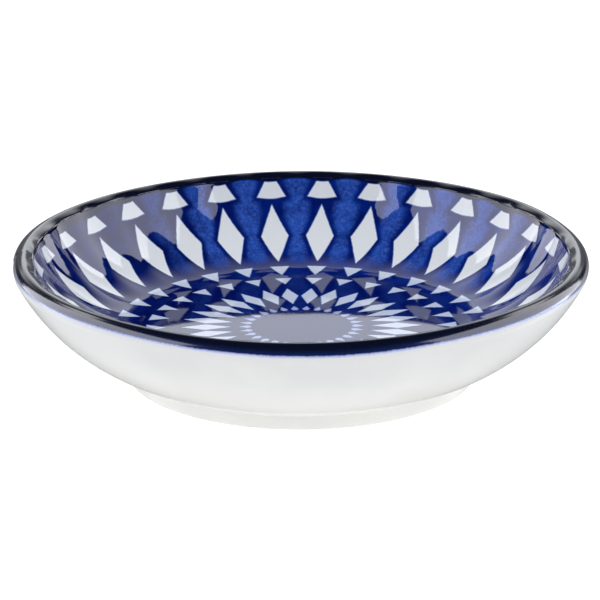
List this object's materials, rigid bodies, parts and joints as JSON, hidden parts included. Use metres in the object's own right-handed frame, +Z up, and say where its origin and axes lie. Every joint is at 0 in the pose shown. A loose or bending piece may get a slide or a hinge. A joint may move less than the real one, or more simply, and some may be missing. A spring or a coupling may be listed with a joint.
{
  "type": "soy sauce dish",
  "caption": "Small round porcelain dish on a foot ring, with a dark rim band and rings of white figures in deep blue glaze inside.",
  "frame": {"origin": "centre of the circle on which the foot ring stands", "axes": "+Z up along the dish's axis; +Y away from the viewer of the picture, +X to the right"},
  "size_m": [0.1, 0.1, 0.022],
  "materials": {
    "porcelain": "bare fired porcelain, matt",
    "clear_glaze": "clear gloss glaze over white porcelain",
    "rim_glaze": "near-black cobalt gloss glaze",
    "blue_glaze": "deep cobalt gloss glaze, mottled lighter on the wall",
    "white_figures": "white gloss glaze"
  },
  "bodies": {
    "root": {"bowl_body": "porcelain", "foot_ring": "porcelain", "rim_band": "rim_glaze", "blue_lining": "blue_glaze", "outer_glaze": "clear_glaze", "base_glaze": "clear_glaze", "rim_trapezoids": "white_figures", "wall_diamonds": "white_figures", "well_triangles": "white_figures", "floor_triangles": "white_figures", "floor_diamonds": "white_figures", "centre_wedges": "white_figures"}
  },
  "joints": []
}
